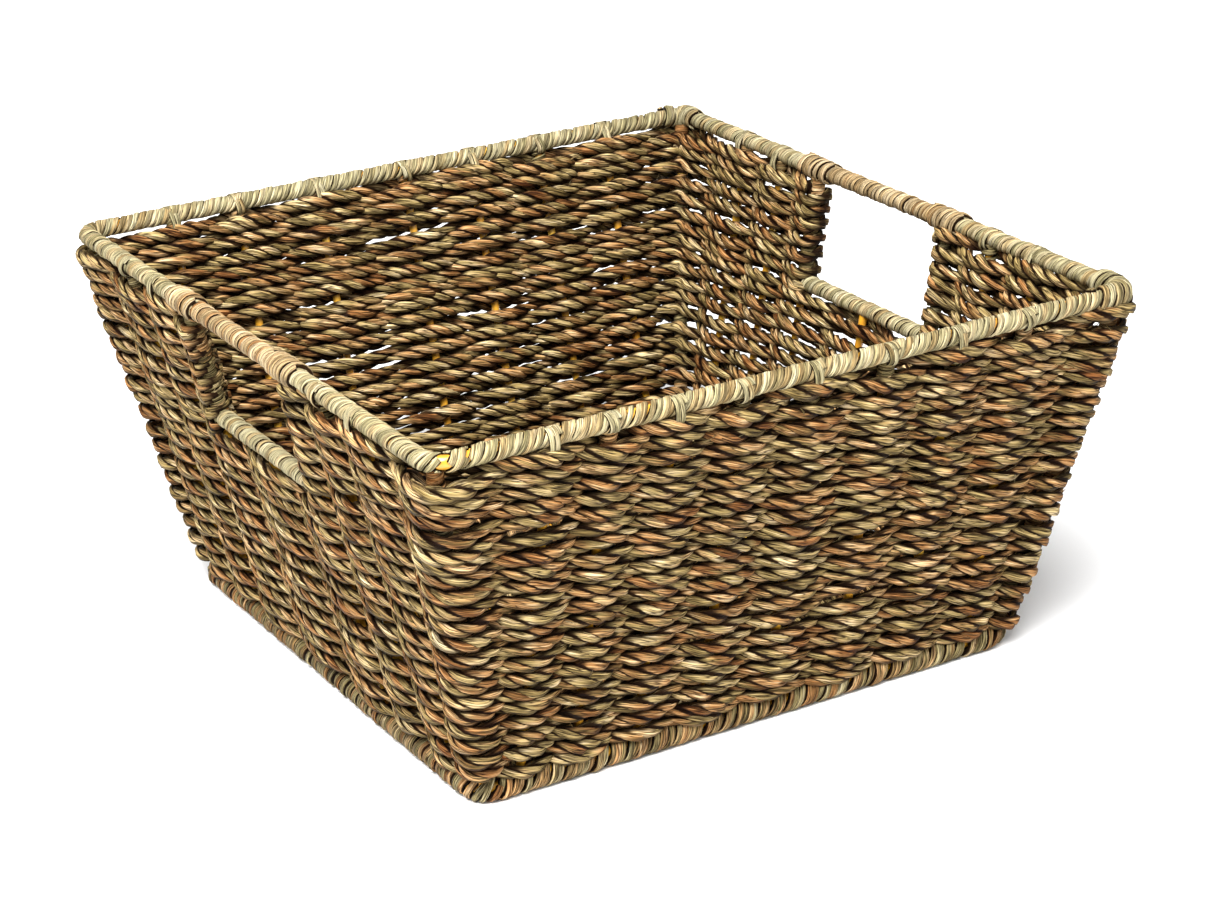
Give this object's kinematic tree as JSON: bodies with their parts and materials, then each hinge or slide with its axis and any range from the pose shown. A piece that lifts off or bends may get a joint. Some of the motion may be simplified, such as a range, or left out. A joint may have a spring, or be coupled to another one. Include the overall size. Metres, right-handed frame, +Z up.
{
  "type": "seagrass storage basket",
  "caption": "Square tapered open-top storage basket of twisted seagrass rope woven on a wire frame, with a cut-out handle in two opposite walls.",
  "frame": {"origin": "centre of the base, on the ground under the basket", "axes": "+Z up; +X towards the basket's right, from one wall with a handle opening to the other; +Y towards the back, along the longer side"},
  "size_m": [0.3556, 0.383, 0.1838],
  "materials": {
    "rope_seagrass": "dry twisted seagrass rope, mixed olive, tan and reddish brown, rough",
    "rim_seagrass": "flattened seagrass strand, pale straw green, slightly waxy",
    "grip_seagrass": "flattened seagrass strand, tan brown, slightly waxy",
    "border_seagrass": "coarse seagrass strand, tan and brown, rough",
    "lacquered_wire": "glossy amber lacquer"
  },
  "bodies": {
    "root": {"rim_wire": "lacquered_wire", "base_wire": "lacquered_wire", "front_left_post": "lacquered_wire", "front_right_post": "lacquered_wire", "back_left_post": "lacquered_wire", "back_right_post": "lacquered_wire", "front_stakes": "lacquered_wire", "back_stakes": "lacquered_wire", "left_stakes": "lacquered_wire", "right_stakes": "lacquered_wire", "left_sill_stake": "lacquered_wire", "right_sill_stake": "lacquered_wire", "left_sill_wire": "lacquered_wire", "right_sill_wire": "lacquered_wire", "floor_wires": "lacquered_wire", "front_rim_wrap": "rim_seagrass", "back_rim_wrap": "rim_seagrass", "left_front_rim_wrap": "rim_seagrass", "left_back_rim_wrap": "rim_seagrass", "right_front_rim_wrap": "rim_seagrass", "right_back_rim_wrap": "rim_seagrass", "corner_rim_wraps": "rim_seagrass", "left_grip_wrap": "grip_seagrass", "right_grip_wrap": "grip_seagrass", "left_grip_bindings": "grip_seagrass", "right_grip_bindings": "grip_seagrass", "left_sill_wrap": "rim_seagrass", "right_sill_wrap": "rim_seagrass", "front_base_wrap": "border_seagrass", "back_base_wrap": "border_seagrass", "left_base_wrap": "border_seagrass", "right_base_wrap": "border_seagrass", "corner_base_wraps": "border_seagrass", "front_rim_ties": "rim_seagrass", "back_rim_ties": "rim_seagrass", "left_rim_ties": "rim_seagrass", "right_rim_ties": "rim_seagrass", "front_weave": "rope_seagrass", "back_weave": "rope_seagrass", "left_lower_weave": "rope_seagrass", "right_lower_weave": "rope_seagrass", "left_front_weave": "rope_seagrass", "left_back_weave": "rope_seagrass", "right_front_weave": "rope_seagrass", "right_back_weave": "rope_seagrass", "front_left_weave_corner": "rope_seagrass", "front_right_weave_corner": "rope_seagrass", "back_left_weave_corner": "rope_seagrass", "back_right_weave_corner": "rope_seagrass", "floor_weave": "rope_seagrass"}
  },
  "joints": []
}
